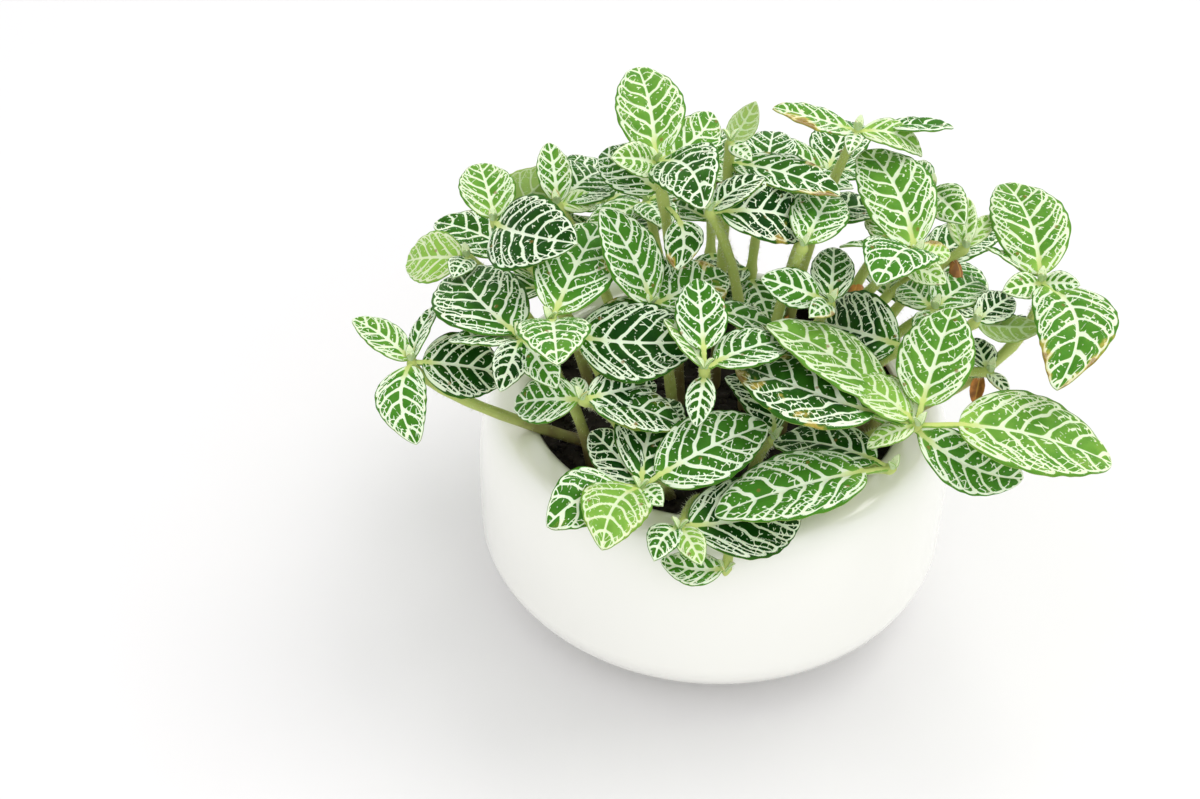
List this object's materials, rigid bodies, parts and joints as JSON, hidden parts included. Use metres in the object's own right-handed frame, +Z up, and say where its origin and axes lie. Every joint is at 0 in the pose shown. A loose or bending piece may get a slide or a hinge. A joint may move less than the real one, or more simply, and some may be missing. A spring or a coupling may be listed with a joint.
{
  "type": "potted nerve plant",
  "caption": "Squat round glazed ceramic bowl full of soil, holding a loose dome of short leafy stems with oval, white-veined green leaves.",
  "frame": {"origin": "centre of the bowl's flat base, on the surface that it stands on", "axes": "+Z up along the bowl's turning axis, +Y away from the front view, +X to the right"},
  "size_m": [0.1983, 0.1881, 0.1578],
  "materials": {
    "glaze": "smooth glossy white glaze",
    "soil": "dark crumbly potting soil",
    "leaf": "satin green leaves with pale veins on downy green stems"
  },
  "bodies": {
    "root": {"bowl": "glaze", "soil": "soil", "stem_back_left": "leaf", "stem_back_mid": "leaf", "stem_back_olive": "leaf", "stem_back_pale": "leaf", "stem_back_right": "leaf", "stem_centre": "leaf", "stem_centre_back": "leaf", "stem_far_left": "leaf", "stem_front": "leaf", "stem_front_drop": "leaf", "stem_front_low": "leaf", "stem_front_right": "leaf", "stem_front_right_low": "leaf", "stem_inner_small": "leaf", "stem_left_back": "leaf", "stem_left_big": "leaf", "stem_left_mid": "leaf", "stem_left_top": "leaf", "stem_mid_arch": "leaf", "stem_mid_right": "leaf", "stem_rear_1": "leaf", "stem_rear_2": "leaf", "stem_rear_3": "leaf", "stem_rear_4": "leaf", "stem_rear_5": "leaf", "stem_rear_top_left": "leaf", "stem_rear_top_right": "leaf", "stem_right_back": "leaf", "stem_right_far": "leaf", "stem_right_low": "leaf", "stem_right_mid": "leaf", "stem_right_mid_top": "leaf", "stem_right_under": "leaf", "stem_shade": "leaf", "stem_top_left": "leaf", "stem_top_left_back": "leaf"}
  },
  "joints": []
}
